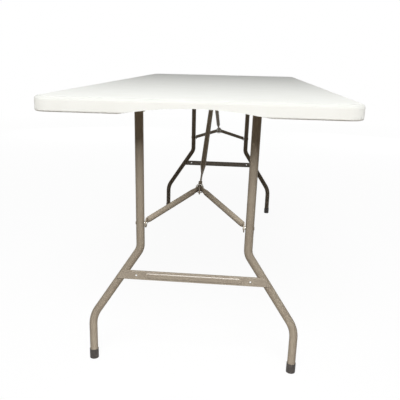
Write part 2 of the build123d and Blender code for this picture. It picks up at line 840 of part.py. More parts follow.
# The rear frame is the front one turned half round
ends = (("front", 0, {-1: "left", 1: "right"}), ("rear", 180, {-1: "right", 1: "left"}))
bracket_ear_grip = tongue_thickness + 2 * bracket_ear_gap + 2 * bracket_sheet
for end, turn, side_names in ends:
    pieces = {
        "brace_bracket": make_brace_bracket(),
        "bracket_screws": make_screw(bracket_seat, bracket_screw_places()),
        "brace_pin": make_headed_pin(
            (0, brace_pivot_y, brace_pivot_z), bracket_ear_grip,
            apex_rivet_radius, apex_head_radius, apex_head_height,
        ),
        "saddle_screws": make_screw(saddle_seat, front_saddle_screws),
        "leg_crossbar": make_leg_crossbar(),
        "leg_rivets": make_leg_rivets(),
        "brace": make_brace(),
        "strut_rivets": make_strut_rivets(),
        "apex_rivet": make_headed_pin(
            (0, apex_y, apex_z), 2 * plate_x + plate_thickness,
            apex_rivet_radius, apex_head_radius, apex_head_height,
        ),
        "lock_ring": make_lock_ring(),
    }
    for side in (-1, 1):
        side_name = side_names[side]
        pieces[f"hinge_saddle_{side_name}"] = make_saddle(side)
        pieces[f"hinge_bush_{side_name}"] = make_hinge_bush(side)
        pieces[f"hinge_tube_{side_name}"] = make_hinge_tube(side)
        pieces[f"leg_tube_{side_name}"] = make_leg_tube(side)
        pieces[f"foot_cap_{side_name}"] = make_foot_cap(side)
        pieces[f"strut_{side_name}"] = make_strut(side)
    for name, piece in pieces.items():
        write_piece(piece.rotate(Axis.Z, turn), f"{end}_{name}")

print("apex", round(apex_y, 2), round(apex_z, 2), "brace reach", round(brace_reach, 2))
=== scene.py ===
# %% [markdown]
# Folding garden table: a white blow-moulded top on two folding steel leg frames.
# This lesson dresses a table whose shape is already fixed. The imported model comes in
# as named nodes that never move, and each step adds a finish, a finer piece or a part
# of the studio round them. Lengths are in metres: the origin is on the floor under
# the middle of the table, +Z is up, and the end that the photograph shows faces -Y.

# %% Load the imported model
import json
import math

import bpy
from mathutils import Matrix, Vector


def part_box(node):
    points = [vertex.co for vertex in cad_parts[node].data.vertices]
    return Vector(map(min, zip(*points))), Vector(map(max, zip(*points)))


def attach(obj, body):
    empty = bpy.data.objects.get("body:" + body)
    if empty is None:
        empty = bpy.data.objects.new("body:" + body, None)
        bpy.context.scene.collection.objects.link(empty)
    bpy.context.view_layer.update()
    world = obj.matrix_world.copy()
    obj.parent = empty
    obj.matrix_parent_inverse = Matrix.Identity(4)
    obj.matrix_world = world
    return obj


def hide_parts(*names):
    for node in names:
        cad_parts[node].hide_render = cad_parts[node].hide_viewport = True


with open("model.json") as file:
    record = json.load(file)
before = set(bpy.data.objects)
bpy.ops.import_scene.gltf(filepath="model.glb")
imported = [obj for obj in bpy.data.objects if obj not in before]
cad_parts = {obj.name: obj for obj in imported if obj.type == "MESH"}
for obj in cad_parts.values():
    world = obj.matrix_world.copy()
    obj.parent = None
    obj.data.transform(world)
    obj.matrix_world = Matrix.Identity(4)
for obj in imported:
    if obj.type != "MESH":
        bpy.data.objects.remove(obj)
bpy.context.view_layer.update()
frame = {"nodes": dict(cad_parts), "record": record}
nodes = frame["nodes"]


# %% [markdown]
# Colours and shader nodes. A paint chart gives colours as hex values for the screen
# (sRGB), while Blender's shaders work in linear light, so one function turns one into
# the other. A material could be wired by hand in the shader editor. In a script the
# same thing is done by one function that adds a node with its settings and its links,
# so that a finish reads from top to bottom like a recipe.

# %% Helpers for colours and shader nodes
MM = 0.001
# Some sockets share a name, so they are given by number: 0 and 1 are the first two
# inputs of a Math, Vector Math or Mix Shader node, and these are a Mix node's colours
MIX_A, MIX_B = 6, 7


def linear(hex_colour):
    """A hex colour of the screen as linear red, green, blue and alpha."""
    channels = [int(hex_colour[i:i + 2], 16) / 255 for i in (1, 3, 5)]
    return tuple(
        c / 12.92 if c <= 0.04045 else ((c + 0.055) / 1.055) ** 2.4 for c in channels
    ) + (1.0,)


def add_node(tree, kind, inputs=None, **settings):
    """Adds a shader node. An input is a value, a socket, or a node to link from."""
    node = tree.nodes.new(kind)
    for name, value in settings.items():
        setattr(node, name, value)
    for name, value in (inputs or {}).items():
        if isinstance(value, bpy.types.Node):
            value = next(socket for socket in value.outputs if socket.enabled)
        if isinstance(value, bpy.types.NodeSocket):
            tree.links.new(value, node.inputs[name])
        else:
            node.inputs[name].default_value = value
    return node


def new_material(name):
    """A material with no nodes but its own coordinates, which move with the piece."""
    material = bpy.data.materials.new(name)
    material.use_nodes = True
    material.node_tree.nodes.clear()
    coords = add_node(material.node_tree, "ShaderNodeTexCoord").outputs["Object"]
    return material, material.node_tree, coords


print("white is", [round(channel, 2) for channel in linear("#FFFFFF")])


# %% [markdown]
# The top's shaded edge. The top is one hollow shell, blown in a mould, and its upper
# edge is rolled over. Half way round, the roll faces the key lamp most squarely and
# would show as a bright band, so it is painted a shade greyer than the flat: painted
# shade. It could be painted by hand on a UV map. Here it is worked out from the place
# of each point, which needs no map: how far the point lies past the straight runs of
# the outline, times how high it is on the roll. The product is strongest half way
# round the roll and dies out on both sides.

# %% Where the roll of the edge lies
TOP_HALF_WIDTH, TOP_HALF_LENGTH, TOP_HEIGHT = 380 * MM, 915 * MM, 740 * MM
CORNER_RADIUS, ROLL_RADIUS = 40 * MM, 8 * MM


def painted_roll_shade(tree, coords):
    """The share of painted shade, from 0 to 1, that is 1 half way round the rolled upper
    edge.
    """
    flat = add_node(
        tree, "ShaderNodeVectorMath", {0: coords, 1: (1, 1, 0)}, operation="MULTIPLY"
    )
    quarter = add_node(tree, "ShaderNodeVectorMath", {0: flat}, operation="ABSOLUTE")
    corner = (TOP_HALF_WIDTH - CORNER_RADIUS, TOP_HALF_LENGTH - CORNER_RADIUS, 0)
    inner = add_node(
        tree, "ShaderNodeVectorMath", {0: quarter, 1: corner}, operation="SUBTRACT"
    )
    past = add_node(
        tree, "ShaderNodeVectorMath", {0: inner, 1: (0, 0, 0)}, operation="MAXIMUM"
    )
    reach = add_node(tree, "ShaderNodeVectorMath", {0: past}, operation="LENGTH")
    outward = add_node(tree, "ShaderNodeMapRange", {
        "Value": reach, "From Min": CORNER_RADIUS - ROLL_RADIUS,
        "From Max": CORNER_RADIUS,
    })
    height = add_node(tree, "ShaderNodeSeparateXYZ", {0: coords}).outputs["Z"]
    # Each factor is about 0.7 half way round, so doubling makes their product 1
    upward = add_node(tree, "ShaderNodeMapRange", {
        "Value": height, "From Min": TOP_HEIGHT - ROLL_RADIUS, "From Max": TOP_HEIGHT,
        "To Max": 2.0,
    })
    edge = add_node(
        tree, "ShaderNodeMath", {0: outward, 1: upward}, operation="MULTIPLY"
    )
    # Patches about 25 mm long break the painted shade up, so that it isn't a drawn line
    shade_patches = add_node(tree, "ShaderNodeTexNoise", {
        "Vector": coords, "Scale": 1 / (25 * MM), "Detail": 3.0, "Roughness": 0.55,
    })
    uneven = add_node(
        tree, "ShaderNodeMapRange", {"Value": shade_patches, "To Min": 0.8, "To Max": 1.1}
    )
    return add_node(
        tree, "ShaderNodeMath", {0: edge, 1: uneven}, operation="MULTIPLY", use_clamp=True
    )


print("rolled edge", round(ROLL_RADIUS / MM, 1), "mm")


# %% [markdown]
# Blow-moulded high-density polyethylene. The plastic is coloured right through, a
# white that leans a little to grey, and the mould gives it a fine pebbled grain, so it
# is matt and spreads a highlight wide. The grain could be modelled, but millions of
# pebbles would say no more than a bump does. The wall also sinks a little over the
# ties inside it, which gives the large flat its soft, slow waves.

# %% The top's plastic
def moulded_polyethylene():
    """White plastic with a pebbled grain, slow waves and painted shade on the edge."""
    material, tree, coords = new_material("blow-moulded white polyethylene")
    # Cloudy drift about 60 mm across: the white isn't dead even
    cloud = add_node(tree, "ShaderNodeTexNoise", {
        "Vector": coords, "Scale": 1 / (60 * MM), "Detail": 3.0, "Roughness": 0.55,
    })
    share = add_node(
        tree, "ShaderNodeMapRange", {"Value": cloud, "From Min": 0.3, "From Max": 0.7}
    )
    white = add_node(
        tree, "ShaderNodeMix",
        {"Factor": share, MIX_A: linear("#F3F4EF"), MIX_B: linear("#F6F7F3")},
        data_type="RGBA",
    )
    # Painted shade: the roll is mixed towards a greyer white, #D8D9D4, to tone down its
    # bright band
    tint = add_node(
        tree, "ShaderNodeMix",
        {"Factor": painted_roll_shade(tree, coords), MIX_A: white, MIX_B: linear("#D8D9D4")},
        data_type="RGBA",
    )
    gloss = add_node(
        tree, "ShaderNodeMapRange", {"Value": cloud, "To Min": 0.62, "To Max": 0.72}
    )
    # Waves of about 180 mm: reflections on the flat bend softly
    wave = add_node(tree, "ShaderNodeTexNoise", {
        "Vector": coords, "Scale": 1 / (180 * MM), "Detail": 1.0, "Roughness": 0.55,
    })
    waves = add_node(
        tree, "ShaderNodeBump", {"Height": wave, "Distance": 0.12 * MM, "Strength": 0.5}
    )
    # Pebbles of 1.6 mm, a little coarser than the real grain so that they show
    pebble = add_node(
        tree, "ShaderNodeTexVoronoi", {"Vector": coords, "Scale": 1 / (1.6 * MM)},
        feature="SMOOTH_F1",
    )
    grain = add_node(tree, "ShaderNodeBump", {
        "Height": pebble, "Distance": 0.05 * MM, "Strength": 0.6, "Normal": waves,
    })
    shader = add_node(tree, "ShaderNodeBsdfPrincipled", {
        "Base Color": tint, "Roughness": gloss, "Normal": grain,
        "Specular IOR Level": 0.12,
    })
    add_node(tree, "ShaderNodeOutputMaterial", {"Surface": shader})
    return material


materials = {"moulded_top": moulded_polyethylene()}
print("made", materials["moulded_top"].name)


# %% [markdown]
# Powder coat on the steel. The tubes, rails, brackets and braces are mild steel,
# sprayed with taupe powder that is baked to a skin. The skin hides the metal, so this
# is a plastic to the light and not a metal: no metallic value, only a soft sheen. The
# powder flows out unevenly as it melts, which leaves a fine orange peel. The pressed
# crossbars are flat sheet, on which the skin lies smoother and shines more than on
# the tubes, so the same recipe makes both with two numbers changed.

# %% Powder coat for tubes and for pressed sheet
def powder_coat(name, roughness, specular):
    """Taupe powder coat with orange peel, of a given roughness and sheen."""
    material, tree, coords = new_material(name)
    # Drift of shade about 35 mm across: thicker and thinner powder
    cloud = add_node(tree, "ShaderNodeTexNoise", {
        "Vector": coords, "Scale": 1 / (35 * MM), "Detail": 1.0, "Roughness": 0.55,
    })
    share = add_node(
        tree, "ShaderNodeMapRange", {"Value": cloud, "From Min": 0.3, "From Max": 0.7}
    )
    tint = add_node(
        tree, "ShaderNodeMix",
        {"Factor": share, MIX_A: linear("#998E7F"), MIX_B: linear("#9F9585")},
        data_type="RGBA",
    )
    gloss = add_node(tree, "ShaderNodeMapRange", {
        "Value": cloud, "To Min": roughness - 0.04, "To Max": roughness + 0.04,
    })
    # Peel of 1.4 mm: breaks the edge of a highlight along the tube
    peel = add_node(tree, "ShaderNodeTexNoise", {
        "Vector": coords, "Scale": 1 / (1.4 * MM), "Detail": 2.0, "Roughness": 0.55,
    })
    skin = add_node(
        tree, "ShaderNodeBump", {"Height": peel, "Distance": 0.03 * MM, "Strength": 0.5}
    )
    shader = add_node(tree, "ShaderNodeBsdfPrincipled", {
        "Base Color": tint, "Roughness": gloss, "Normal": skin,
        "Specular IOR Level": specular,
    })
    add_node(tree, "ShaderNodeOutputMaterial", {"Surface": shader})
    return material


materials["powder_coat"] = powder_coat(
    "taupe powder coated steel", roughness=0.5, specular=0.1
)
sheet_coat = powder_coat(
    "smooth taupe powder coated sheet", roughness=0.3, specular=0.5
)
print("made", materials["powder_coat"].name, "and", sheet_coat.name)


# %% [markdown]
# Zinc plate on rivets, screws and the lock ring. The plating is a thin bright metal,
# grown as small crystals, and it dulls in patches as it ages. A mirror-like metal
# would look chromed, so the roughness drifts between satin and dull. The IOR stays as
# it is, because a metal takes its look from its colour.

# %% Zinc plated steel
def zinc_plate():
    """Bright zinc plating with a faint crystalline mottle."""
    material, tree, coords = new_material("zinc plated steel")
    # Crystals of 3 mm: a faint mottle of shade and shine
    mottle = add_node(tree, "ShaderNodeTexNoise", {
        "Vector": coords, "Scale": 1 / (3 * MM), "Detail": 3.0, "Roughness": 0.55,
    })
    share = add_node(
        tree, "ShaderNodeMapRange", {"Value": mottle, "From Min": 0.3, "From Max": 0.7}
    )
    tint = add_node(
        tree, "ShaderNodeMix",
        {"Factor": share, MIX_A: linear("#B9B7B0"), MIX_B: linear("#D2D0C9")},
        data_type="RGBA",
    )
    gloss = add_node(
        tree, "ShaderNodeMapRange", {"Value": mottle, "To Min": 0.28, "To Max": 0.42}
    )
    # Grain of 0.5 mm: takes the polish off the heads
    fine = add_node(tree, "ShaderNodeTexNoise", {
        "Vector": coords, "Scale": 1 / (0.5 * MM), "Detail": 3.0, "Roughness": 0.55,
    })
    grain = add_node(
        tree, "ShaderNodeBump", {"Height": fine, "Distance": 0.02 * MM, "Strength": 0.4}
    )
    shader = add_node(tree, "ShaderNodeBsdfPrincipled", {
        "Base Color": tint, "Roughness": gloss, "Normal": grain, "Metallic": 0.85,
    })
    add_node(tree, "ShaderNodeOutputMaterial", {"Surface": shader})
    return material


materials["zinc_steel"] = zinc_plate()
print("made", materials["zinc_steel"].name)


# %% [markdown]
# Soft PVC of the foot caps and hinge bushes. It is a dark warm grey, never quite
# black, with the matt grain of a cheap mould, and the floor rubs it paler in patches.
# Plain black would lose the caps' ribs in their own shade, so the colour keeps a
# little light and the roughness drifts.

# %% Dark grey soft plastic
def dark_plastic():
    """Dark grey soft plastic with a fine grain and rubbed patches."""
    material, tree, coords = new_material("moulded dark grey soft PVC")
    # Rubbed patches about 12 mm across
    cloud = add_node(tree, "ShaderNodeTexNoise", {
        "Vector": coords, "Scale": 1 / (12 * MM), "Detail": 3.0, "Roughness": 0.55,
    })
    share = add_node(
        tree, "ShaderNodeMapRange", {"Value": cloud, "From Min": 0.3, "From Max": 0.7}
    )
    tint = add_node(
        tree, "ShaderNodeMix",
        {"Factor": share, MIX_A: linear("#3C3834"), MIX_B: linear("#46413D")},
        data_type="RGBA",
    )
    gloss = add_node(
        tree, "ShaderNodeMapRange", {"Value": cloud, "To Min": 0.45, "To Max": 0.6}
    )
    # Mould grain of 0.8 mm: keeps a highlight from running down the cap
    fine = add_node(tree, "ShaderNodeTexNoise", {
        "Vector": coords, "Scale": 1 / (0.8 * MM), "Detail": 3.0, "Roughness": 0.55,
    })
    grain = add_node(
        tree, "ShaderNodeBump", {"Height": fine, "Distance": 0.03 * MM, "Strength": 0.5}
    )
    shader = add_node(tree, "ShaderNodeBsdfPrincipled", {
        "Base Color": tint, "Roughness": gloss, "Normal": grain,
    })
    add_node(tree, "ShaderNodeOutputMaterial", {"Surface": shader})
    return material


materials["dark_plastic"] = dark_plastic()
print("made", materials["dark_plastic"].name)


# %% [markdown]
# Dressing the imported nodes. The record says which material slot each node has, so
# the finishes could be given out by hand or by that list; the list can't miss a node.
# Only the two pressed crossbars get the smoother coat.

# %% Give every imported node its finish
slots = {part["node"]: part["material_slot"] for part in frame["record"]["subparts"]}
for name, node in nodes.items():
    node.data.materials.clear()
    pressed = name.endswith("leg_crossbar")
    node.data.materials.append(sheet_coat if pressed else materials[slots[name]])
print("dressed", len(slots), "nodes")


# %% [markdown]
# Modelling as by hand. In the edit mode of Blender's window one clicks the faces to
# shape. A script picks them by their place or by where they point, and an operator
# acts on all that is selected, so each step starts from nothing selected.

# %% Helpers that select and shape
SQUARELY = 0.9  # a face points up when its normal rises at least this much


def only(piece):
    """Selects one object alone and makes it the active one."""
    bpy.ops.object.select_all(action="DESELECT")
    piece.select_set(True)
    bpy.context.view_layer.objects.active = piece


def pick_faces(piece, wanted):
    """Enters edit mode with just the faces that wanted(face) says yes to."""
    only(piece)
    bpy.ops.object.mode_set(mode="EDIT")
    bpy.ops.mesh.select_mode(type="FACE")
    bpy.ops.mesh.select_all(action="DESELECT")
    bpy.ops.object.mode_set(mode="OBJECT")
    for face in piece.data.polygons:
        face.select = wanted(face)
    bpy.ops.object.mode_set(mode="EDIT")


def modify(piece, kind, **settings):
    """Adds a modifier and applies it."""
    only(piece)
    modifier = piece.modifiers.new(kind.lower(), kind)
    for name, value in settings.items():
        setattr(modifier, name, value)
    bpy.ops.object.modifier_apply(modifier=modifier.name)


def settle(piece):
    """Puts the object's place, turn and size into its mesh."""
    only(piece)
    bpy.ops.object.transform_apply(location=True, rotation=True, scale=True)


bpy.ops.object.select_all(action="DESELECT")
print("selected to start with:", len(bpy.context.selected_objects))


# %% [markdown]
# Foot caps. Soft caps are pushed over the ends of the legs so that the bare tube
# doesn't cut the floor. Each has a rounded sole, fine ribs to grip it by and a rolled
# rim at the mouth. A cap could be a profile spun round an axis, but then the ribs
# would have to be cut in afterwards. A cylinder of 72 sides has the ribs in its faces
# already: every other strip of the wall sinks in. It stands as tall as it does in the
# photograph, 28 mm.

# %% Foot cap: the wall and the bore
CAP_SIDES = 72
CAP_RADIUS, CAP_BORE = 12.6 * MM, 11.15 * MM
CAP_HEIGHT, CAP_FLOOR = 28 * MM, 4 * MM

bpy.ops.mesh.primitive_cylinder_add(
    vertices=CAP_SIDES, radius=CAP_RADIUS, depth=CAP_HEIGHT,
    location=(0, 0, CAP_HEIGHT / 2), end_fill_type="NGON",
)
cap_model = bpy.context.object
settle(cap_model)
pick_faces(cap_model, lambda face: face.normal.z > SQUARELY)
bpy.ops.mesh.inset(thickness=CAP_RADIUS - CAP_BORE)
bpy.ops.mesh.extrude_region_move(
    TRANSFORM_OT_translate={"value": (0, 0, CAP_FLOOR - CAP_HEIGHT)}
)
bpy.ops.object.mode_set(mode="OBJECT")
print("cap wall", round((CAP_RADIUS - CAP_BORE) / MM, 2), "mm")

# %% Foot cap: rings cut round the wall
SOLE_TOP, RIBS_FROM, RIBS_TO, GROOVE_TO = 6 * MM, 9 * MM, 22.5 * MM, 24.5 * MM

for level in (SOLE_TOP, RIBS_FROM, RIBS_TO, GROOVE_TO):
    pick_faces(cap_model, lambda face: True)
    bpy.ops.mesh.bisect(plane_co=(0, 0, level), plane_no=(0, 0, 1))
    bpy.ops.object.mode_set(mode="OBJECT")
print("cap faces", len(cap_model.data.polygons))

# %% Foot cap: ribs, groove and softened edges
RIB_DEPTH, GROOVE_DEPTH, EDGE_SOFTNESS = 0.35 * MM, 0.5 * MM, 0.9 * MM
UPRIGHT = 0.1  # a face stands upright when its normal rises less than this


def on_wall(face):
    """Says whether a face of the cap is on its outer wall."""
    outside = face.center.xy.length > (CAP_BORE + CAP_RADIUS) / 2
    return outside and abs(face.normal.z) < UPRIGHT


def between_ribs(face):
    """Says whether a face is one of the strips that sink in."""
    strip = math.atan2(face.center.y, face.center.x) / math.tau * CAP_SIDES
    in_band = RIBS_FROM < face.center.z < RIBS_TO
    return on_wall(face) and in_band and round(strip - 0.5) % 2 == 0


def in_groove(face):
    """Says whether a face is in the groove that sets off the rim."""
    return on_wall(face) and RIBS_TO < face.center.z < GROOVE_TO


for sunk, depth in ((between_ribs, RIB_DEPTH), (in_groove, GROOVE_DEPTH)):
    pick_faces(cap_model, sunk)
    bpy.ops.mesh.extrude_region_shrink_fatten(
        TRANSFORM_OT_shrink_fatten={"value": -depth}
    )
    bpy.ops.object.mode_set(mode="OBJECT")
modify(
    cap_model, "BEVEL", width=EDGE_SOFTNESS, segments=3, limit_method="ANGLE",
    angle_limit=math.radians(70), use_clamp_overlap=True,
)
print("finished cap faces", len(cap_model.data.polygons))


# %% [markdown]
# What repeats is modelled once and copied. A linked copy would share its mesh, and
# the place of a copy is put into its mesh here, so each gets a mesh of its own. The
# shading is smooth except over sharp edges, as on any moulded or turned piece.

# %% Foot caps on the four legs
def copy_to(piece, place, name):
    """A copy with a mesh of its own, moved by place."""
    twin = bpy.data.objects.new(name, piece.data.copy())
    bpy.context.scene.collection.objects.link(twin)
    twin.location = place
    settle(twin)
    return twin


def dress(piece, material, sharp_degrees=35):
    """Gives the piece its finish, and smooth shading with sharp edges kept."""
    only(piece)
    bpy.ops.object.shade_smooth_by_angle(angle=math.radians(sharp_degrees))
    piece.data.materials.clear()
    piece.data.materials.append(material)


for end in ("front", "rear"):
    for hand in ("left", "right"):
        node = f"{end}_foot_cap_{hand}"
        low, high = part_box(node)
        place = ((low[0] + high[0]) / 2, (low[1] + high[1]) / 2, low[2])
        cap = copy_to(cap_model, place, node + "_ribbed")
        dress(cap, materials["dark_plastic"])
        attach(cap, f"{end}_leg_frame")
        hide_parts(node)
bpy.data.objects.remove(cap_model)
print("foot caps", len(cap.data.polygons), "faces each")


# %% [markdown]
# Screws. Zinc plated pan-head screws go up into the thick ribs of the top and hold
# the rails, brackets and saddles. Seen from below, a head is a low crown with a cross
# recess. The crown is made by insets that step in and sink a little, and the shank
# grows out of the seat. The crown could be a scaled ball, but insets keep its rings
# where the bevel needs them.

# %% Screw: the head and the shank
HEAD_RADIUS, HEAD_HEIGHT = 4 * MM, 2.2 * MM
SHANK_RADIUS, SHANK_LENGTH = 2 * MM, 11 * MM

bpy.ops.mesh.primitive_cylinder_add(
    vertices=40, radius=HEAD_RADIUS, depth=HEAD_HEIGHT, location=(0, 0, -HEAD_HEIGHT / 2)
)
screw_model = bpy.context.object
settle(screw_model)
pick_faces(screw_model, lambda face: face.normal.z < -SQUARELY)
for step_in, sink in ((0.45, 0.0), (0.8, 0.28), (1.0, 0.12)):
    bpy.ops.mesh.inset(thickness=step_in * MM)
    bpy.ops.transform.translate(value=(0, 0, -sink * MM))
bpy.ops.object.mode_set(mode="OBJECT")
pick_faces(screw_model, lambda face: face.normal.z > SQUARELY)
bpy.ops.mesh.inset(thickness=HEAD_RADIUS - SHANK_RADIUS)
bpy.ops.mesh.extrude_region_move(TRANSFORM_OT_translate={"value": (0, 0, SHANK_LENGTH)})
bpy.ops.object.mode_set(mode="OBJECT")
modify(
    screw_model, "BEVEL", width=0.3 * MM, segments=2, limit_method="ANGLE",
    angle_limit=math.radians(50),
)
print("screw faces", len(screw_model.data.polygons))


# %% [markdown]
# The cross recess. The real one is punched by a tapered cross, so the same is done
# here: two blades that narrow inwards are cut from the head by a boolean. Faces could
# be drawn and pushed in by hand, but the boolean keeps the crown round the recess.

# %% Screw: the cross recess
BLADE_LENGTH, BLADE_WIDTH, BLADE_DEPTH = 4.4 * MM, 0.9 * MM, 2.6 * MM
BLADE_NARROWS_TO = 0.45
BLADE_MIDDLE = (0, 0, -HEAD_HEIGHT - 0.2 * MM)

for turn in (0, 90):
    bpy.ops.mesh.primitive_cube_add(size=1, location=BLADE_MIDDLE)
    blade = bpy.context.object
    blade.scale = (BLADE_LENGTH, BLADE_WIDTH, BLADE_DEPTH)
    blade.rotation_euler.z = math.radians(turn)
    settle(blade)
    pick_faces(blade, lambda face: face.normal.z > SQUARELY)
    bpy.ops.transform.resize(value=(BLADE_NARROWS_TO, BLADE_NARROWS_TO, 1))
    bpy.ops.object.mode_set(mode="OBJECT")
    modify(screw_model, "BOOLEAN", object=blade, operation="DIFFERENCE", solver="EXACT")
    bpy.data.objects.remove(blade)
print("screw faces with its recess", len(screw_model.data.polygons))


# %% [markdown]
# Screws in their places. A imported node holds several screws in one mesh. Their
# places could be typed in again, but then they could drift from the model, so they
# are measured: points that lie close together belong to one screw, and its head's
# lowest point gives the level of the seat.

# %% Measure where the screws sit
SCREW_REACH = 9 * MM


def screw_places(node):
    """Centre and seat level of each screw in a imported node's mesh."""
    groups = []
    for vertex in node.data.vertices:
        for group in groups:
            if (vertex.co.xy - group[0].co.xy).length < SCREW_REACH:
                group.append(vertex)
                break
        else:
            groups.append([vertex])
    places = []
    for group in groups:
        xs, ys, zs = ([v.co[axis] for v in group] for axis in range(3))
        middle_x, middle_y = (min(xs) + max(xs)) / 2, (min(ys) + max(ys)) / 2
        places.append((middle_x, middle_y, min(zs) + HEAD_HEIGHT))
    return places


screw_nodes = [name for name in nodes if "_screws" in name]
print("nodes with screws", len(screw_nodes))

# %% Screws joined into one piece for each node
def join(pieces, name):
    """Joins objects into the first one and names it."""
    bpy.ops.object.select_all(action="DESELECT")
    for piece in pieces:
        piece.select_set(True)
    bpy.context.view_layer.objects.active = pieces[0]
    bpy.ops.object.join()
    pieces[0].name = name
    return pieces[0]


for name in screw_nodes:
    places = screw_places(nodes[name])
    screws = [copy_to(screw_model, place, name + "_part") for place in places]
    piece = join(screws, name + "_crossed")
    dress(piece, materials["zinc_steel"])
    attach(piece, "table_top")
    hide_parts(name)
    print(name, len(places), "screws")
bpy.data.objects.remove(screw_model)


# %% [markdown]
# Weld beads. The leg tube is welded to its hinge tube round the back, and the two
# flanges of the pressed crossbar are tacked to the leg with short runs. A bead is a
# row of drops that melted into each other. It could be a bent tube, but it would look
# like wire. So each drop is a ball, flattened along the run, the row is joined, a
# remesh pulls one skin over it, and smoothing softens the valleys as molten metal
# would. The frame is painted after it is welded, so the beads are painted too.

# %% One weld bead along a row of points
DROP_FLATNESS = 0.6
SKIN_VOXEL = 0.35 * MM


def bead_along(points, drop_radius):
    """A weld bead of drops at the points, each flattened along the run."""
    drops = []
    for place, after in zip(points, points[1:] + points[-2:-1]):
        bpy.ops.mesh.primitive_uv_sphere_add(
            segments=16, ring_count=10, radius=drop_radius
        )
        drop = bpy.context.object
        drop.scale = (1, 1, DROP_FLATNESS)
        drop.rotation_euler = (after - place).to_track_quat("Z", "Y").to_euler()
        drop.location = place
        settle(drop)
        drops.append(drop)
    bead = join(drops, "bead")
    modify(bead, "REMESH", mode="VOXEL", voxel_size=SKIN_VOXEL)
    modify(bead, "SMOOTH", factor=0.5, iterations=2)
    return bead


print("skin cells", round(SKIN_VOXEL / MM, 2), "mm")


# %% [markdown]
# The line of the hinge weld. Two round tubes that cross meet along a saddle-shaped
# curve. It could be traced by eye, but it follows from the two circles: walk half way
# round the leg, and at each step find how low the hinge tube's wall is there.

# %% Hinge weld at the front right leg
LEG_X, LEG_Y, LEG_RADIUS = 146 * MM, -797 * MM, 11.1 * MM
HINGE_Y, HINGE_Z, HINGE_RADIUS = -787.5 * MM, 709 * MM, 9.5 * MM
HINGE_DROPS = 31

hinge_line = []
for step in range(HINGE_DROPS):
    turn = math.radians(-90 + step * 180 / (HINGE_DROPS - 1))
    y = LEG_Y + LEG_RADIUS * math.cos(turn)
    fall = math.sqrt(max(HINGE_RADIUS ** 2 - (y - HINGE_Y) ** 2, 0))
    hinge_line.append(
        Vector((LEG_X + LEG_RADIUS * math.sin(turn), y, HINGE_Z - fall))
    )
weld_models = {"hinge_weld": bead_along(hinge_line, drop_radius=1.7 * MM)}
print("hinge weld", len(weld_models["hinge_weld"].data.polygons), "faces")


# %% [markdown]
# The lines of the bar welds. The crossbar ends against the slanted part of the leg,
# and its two flanges lie flat. Cut level, a slanted tube is an oval, wider across by
# the slope, and each short run follows the oval's inner side.

# %% Bar welds at the front right leg
BAR_X, BAR_Z, BAR_HALF_HEIGHT = 190.72 * MM, 266 * MM, 12 * MM
SLANT = 135.9 / 209  # sideways for each length down, between knee and foot
OVAL_HALF_WIDTH = LEG_RADIUS * math.hypot(1, SLANT)
BAR_DROPS, FIRST_DROP, DROP_STEP = 9, 10.4 * MM, 0.72 * MM

for flange, side_name in ((1, "upper"), (-1, "lower")):
    axis_x = BAR_X - flange * BAR_HALF_HEIGHT * SLANT
    line = []
    for step in range(BAR_DROPS):
        back = FIRST_DROP - DROP_STEP * step
        across = OVAL_HALF_WIDTH * math.sqrt(1 - (back / LEG_RADIUS) ** 2)
        line.append(
            Vector((axis_x - across, LEG_Y - back, BAR_Z + flange * BAR_HALF_HEIGHT))
        )
    weld_models[f"bar_weld_{side_name}"] = bead_along(line, drop_radius=1.4 * MM)
print("bar welds", len(line), "drops each")


# %% [markdown]
# Beads on all four legs. The table is the same left to right and end to end, so the
# front right leg's beads are mirrored to the others. A mirror turns a mesh inside
# out, so its faces are made to point outwards again.

# %% Weld beads mirrored to the four legs
def mirrored(piece, across, along, name):
    """A copy mirrored over the table's middle planes, its faces still outwards."""
    twin = bpy.data.objects.new(name, piece.data.copy())
    bpy.context.scene.collection.objects.link(twin)
    twin.scale = (across, along, 1)
    settle(twin)
    bpy.ops.object.mode_set(mode="EDIT")
    bpy.ops.mesh.select_all(action="SELECT")
    bpy.ops.mesh.normals_make_consistent(inside=False)
    bpy.ops.object.mode_set(mode="OBJECT")
    return twin


for kind, model in weld_models.items():
    for end, along in (("front", 1), ("rear", -1)):
        for hand, across in (("right", 1), ("left", -1)):
            bead = mirrored(model, across, along, f"{end}_{kind}_{hand}")
            dress(bead, materials["powder_coat"], sharp_degrees=60)
            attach(bead, f"{end}_leg_frame")
    print(kind, len(bead.data.polygons), "faces each")
    bpy.data.objects.remove(model)


# %% [markdown]
# The camera. A camera could be moved by eye until the picture looks right. This one
# was worked out instead: the corners of the top, the knees, the feet and the crossbar
# were marked in the photograph, and the place, turn and lens that put the model's
# points on them were solved for. The photograph's middle isn't quite the lens's axis,
# and the shift takes that up.

# %% Where the camera looks
CAMERA_PLACE = Vector((0.103667, -2.113713, 0.831731))
yaw, pitch, roll = (math.radians(angle) for angle in (-5.708, 16.771, 1.202))

forward = Vector((
    math.sin(yaw) * math.cos(pitch), math.cos(yaw) * math.cos(pitch), -math.sin(pitch)
))
level_right = Vector((math.cos(yaw), -math.sin(yaw), 0))
level_up = level_right.cross(forward)
right = level_right * math.cos(roll) + level_up * math.sin(roll)
up = level_up * math.cos(roll) - level_right * math.sin(roll)
print("camera looks along", [round(part, 3) for part in forward])

# %% The camera and its lens
FRAME_PX = 400
FOCAL_PX = 531.012
CENTRE_U_PX, CENTRE_V_PX = 184.0, 217.0
SENSOR_MM = 36.0

